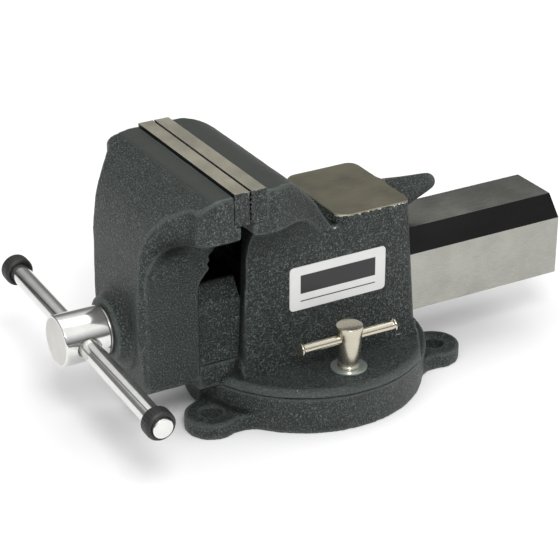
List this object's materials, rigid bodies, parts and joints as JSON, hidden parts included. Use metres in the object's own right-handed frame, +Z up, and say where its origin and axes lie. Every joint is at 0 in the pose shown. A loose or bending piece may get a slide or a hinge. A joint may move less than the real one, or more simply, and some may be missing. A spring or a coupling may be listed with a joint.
{
  "type": "bench vise",
  "caption": "Bench vise with a swivel base, serrated steel jaws, pipe jaws, anvil and horn; a cranked screw slides the front jaw on a long guide bar.",
  "frame": {"origin": "on the swivel axis, at the bench face under the base", "axes": "+Z up along the swivel axis, +X towards the rear of the slide bar, -X towards the handle, -Y the side with the label"},
  "size_m": [0.2785, 0.175, 0.1345],
  "materials": {
    "cast_paint": "dark slate grey paint over sand-cast iron, semi-gloss",
    "machined_steel": "ground flat, satin",
    "polished_steel": "bright polished",
    "nickel": "warm nickel plate, satin",
    "zinc": "zinc plated",
    "rubber": "black, semi-gloss",
    "nut_metal": "cast bronze, oiled",
    "label": "plain white label"
  },
  "bodies": {
    "base": {"swivel_base": "cast_paint"},
    "vise_body": {"fixed_jaw_casting": "cast_paint", "rear_jaw_plate": "machined_steel", "rear_plate_screws": "zinc", "spindle_nut": "nut_metal", "nut_bolt": "zinc", "pivot_bolt": "zinc", "pivot_washer": "zinc", "label_plate": "label", "lock_nut_near": "zinc", "lock_nut_far": "zinc", "lock_washer_near": "zinc", "lock_washer_far": "zinc"},
    "front_jaw": {"sliding_jaw_casting": "cast_paint", "front_jaw_plate": "machined_steel", "front_plate_screws": "zinc", "spring_washer": "zinc", "thrust_washer": "zinc", "spindle_spring": "zinc"},
    "spindle_body": {"spindle": "polished_steel", "retaining_collar": "zinc", "collar_pin": "zinc"},
    "handle": {"handle_bar": "polished_steel", "handle_cap_near": "rubber", "handle_cap_far": "rubber"},
    "lock_near": {"lock_bolt_near": "nickel"},
    "lock_near_bar": {"lock_bar_near": "nickel"},
    "lock_far": {"lock_bolt_far": "nickel"},
    "lock_far_bar": {"lock_bar_far": "nickel"}
  },
  "joints": [
    {"name": "swivel", "type": "hinge", "parent": "base", "child": "vise_body", "pos_m": [0, 0, 0], "axis": [0, 0, 1], "continuous": true},
    {"name": "jaw_slide", "type": "slide", "parent": "vise_body", "child": "front_jaw", "axis": [-1, 0, 0], "range_m": [0, 0.1002]},
    {"name": "spindle_turn", "type": "hinge", "parent": "front_jaw", "child": "spindle_body", "pos_m": [-0.124, 0, 0.0542], "axis": [-1, 0, 0], "range_deg": [0, 9000]},
    {"name": "handle_slide", "type": "slide", "parent": "spindle_body", "child": "handle", "axis": [0, 0.9987, 0.0506], "range_m": [-0.0575, 0.0675]},
    {"name": "lock_turn_near", "type": "hinge", "parent": "vise_body", "child": "lock_near", "pos_m": [0, -0.0458, 0.0422], "axis": [0, 0, -1], "range_deg": [-25, 25]},
    {"name": "lock_bar_slide_near", "type": "slide", "parent": "lock_near", "child": "lock_near_bar", "axis": [1, 0, 0], "range_m": [-0.018, 0.018]},
    {"name": "lock_turn_far", "type": "hinge", "parent": "vise_body", "child": "lock_far", "pos_m": [0, 0.0458, 0.0422], "axis": [0, 0, 1], "range_deg": [-25, 25]},
    {"name": "lock_bar_slide_far", "type": "slide", "parent": "lock_far", "child": "lock_far_bar", "axis": [1, 0, 0], "range_m": [-0.018, 0.018]}
  ],
  "couplings": [
    {"joint": "jaw_slide", "follows": "spindle_turn", "m_per_rad": 0.00063662}
  ]
}
